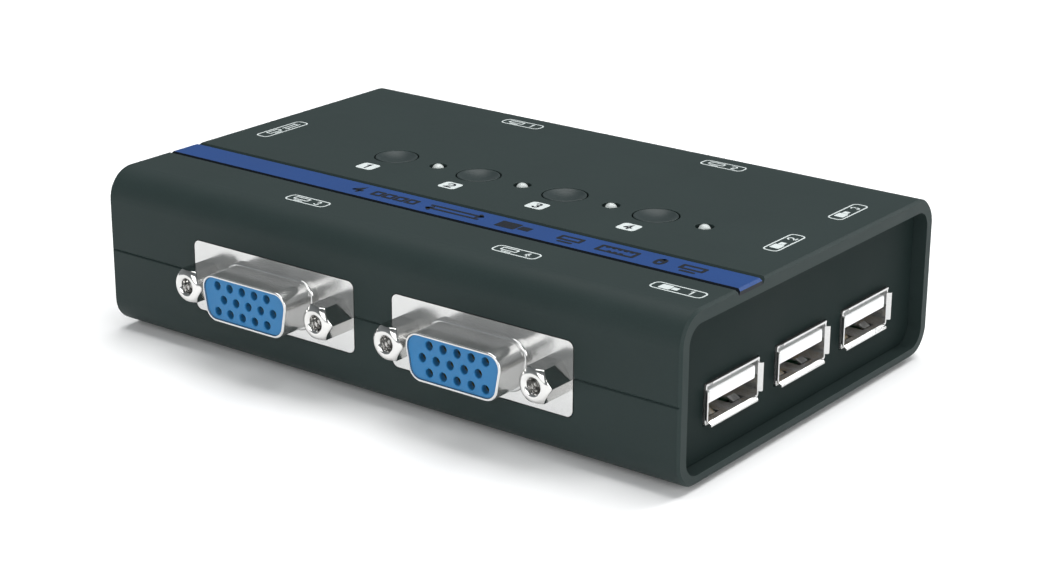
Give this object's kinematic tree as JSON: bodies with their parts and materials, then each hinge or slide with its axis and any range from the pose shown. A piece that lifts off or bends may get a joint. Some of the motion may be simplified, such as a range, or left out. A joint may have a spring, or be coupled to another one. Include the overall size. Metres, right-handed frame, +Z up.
{
  "type": "kvm switch",
  "caption": "Desktop switch box that shares one monitor, keyboard and mouse between several computers, with push buttons and lamps on top and sockets round its sides.",
  "frame": {"origin": "middle of the whole outline, at the underside of the feet", "axes": "+X along the case towards the USB end, +Y from the front to the back, +Z up"},
  "size_m": [0.107, 0.0782, 0.0255],
  "materials": {
    "case_plastic": "fine spark-eroded texture, matt",
    "stripe_blue": "satin",
    "socket_metal": "bright nickel plate",
    "socket_blue": "satin",
    "contact_gilt": "gilt",
    "tongue_white": "satin",
    "switch_plastic": "satin",
    "lens_clear": "frosted",
    "lamp_white": "gloss",
    "board_green": "solder mask",
    "chip_black": "matt",
    "can_metal": "satin",
    "screw_steel": "black zinc",
    "foot_rubber": "matt"
  },
  "bodies": {
    "case": {"top_shell": "case_plastic", "bottom_shell": "case_plastic", "left_end_panel": "case_plastic", "right_end_panel": "case_plastic", "stripe_trim": "stripe_blue", "monitor_port_shell": "socket_metal", "monitor_port_insulator": "socket_blue", "monitor_port_contacts": "contact_gilt", "monitor_port_jackscrews": "socket_metal", "computer_1_port_shell": "socket_metal", "computer_1_port_insulator": "socket_blue", "computer_1_port_contacts": "contact_gilt", "computer_1_port_jackscrews": "socket_metal", "computer_2_port_shell": "socket_metal", "computer_2_port_insulator": "socket_blue", "computer_2_port_contacts": "contact_gilt", "computer_2_port_jackscrews": "socket_metal", "computer_3_port_shell": "socket_metal", "computer_3_port_insulator": "socket_blue", "computer_3_port_contacts": "contact_gilt", "computer_3_port_jackscrews": "socket_metal", "computer_4_port_shell": "socket_metal", "computer_4_port_insulator": "socket_blue", "computer_4_port_contacts": "contact_gilt", "computer_4_port_jackscrews": "socket_metal", "usb_1_shell": "socket_metal", "usb_1_tongue": "tongue_white", "usb_1_contacts": "contact_gilt", "usb_2_shell": "socket_metal", "usb_2_tongue": "tongue_white", "usb_2_contacts": "contact_gilt", "usb_3_shell": "socket_metal", "usb_3_tongue": "tongue_white", "usb_3_contacts": "contact_gilt", "switch_bodies": "switch_plastic", "lamp_lenses": "lens_clear", "lamps": "lamp_white", "main_board": "board_green", "controller_chip": "chip_black", "video_switch_chips": "chip_black", "clock_crystal": "can_metal", "board_capacitors": "can_metal", "chip_resistors": "chip_black", "case_screws": "screw_steel", "rubber_feet": "foot_rubber"},
    "button_1_body": {"button_1": "case_plastic", "switch_stem_1": "switch_plastic"},
    "button_2_body": {"button_2": "case_plastic", "switch_stem_2": "switch_plastic"},
    "button_3_body": {"button_3": "case_plastic", "switch_stem_3": "switch_plastic"},
    "button_4_body": {"button_4": "case_plastic", "switch_stem_4": "switch_plastic"}
  },
  "joints": [
    {"name": "button_1_press", "type": "slide", "parent": "case", "child": "button_1_body", "axis": [0, 0, -1], "range_m": [0, 0.0005], "stiffness_N_per_m": 1200, "springref_m": -0.0005},
    {"name": "button_2_press", "type": "slide", "parent": "case", "child": "button_2_body", "axis": [0, 0, -1], "range_m": [0, 0.0005], "stiffness_N_per_m": 1200, "springref_m": -0.0005},
    {"name": "button_3_press", "type": "slide", "parent": "case", "child": "button_3_body", "axis": [0, 0, -1], "range_m": [0, 0.0005], "stiffness_N_per_m": 1200, "springref_m": -0.0005},
    {"name": "button_4_press", "type": "slide", "parent": "case", "child": "button_4_body", "axis": [0, 0, -1], "range_m": [0, 0.0005], "stiffness_N_per_m": 1200, "springref_m": -0.0005}
  ]
}
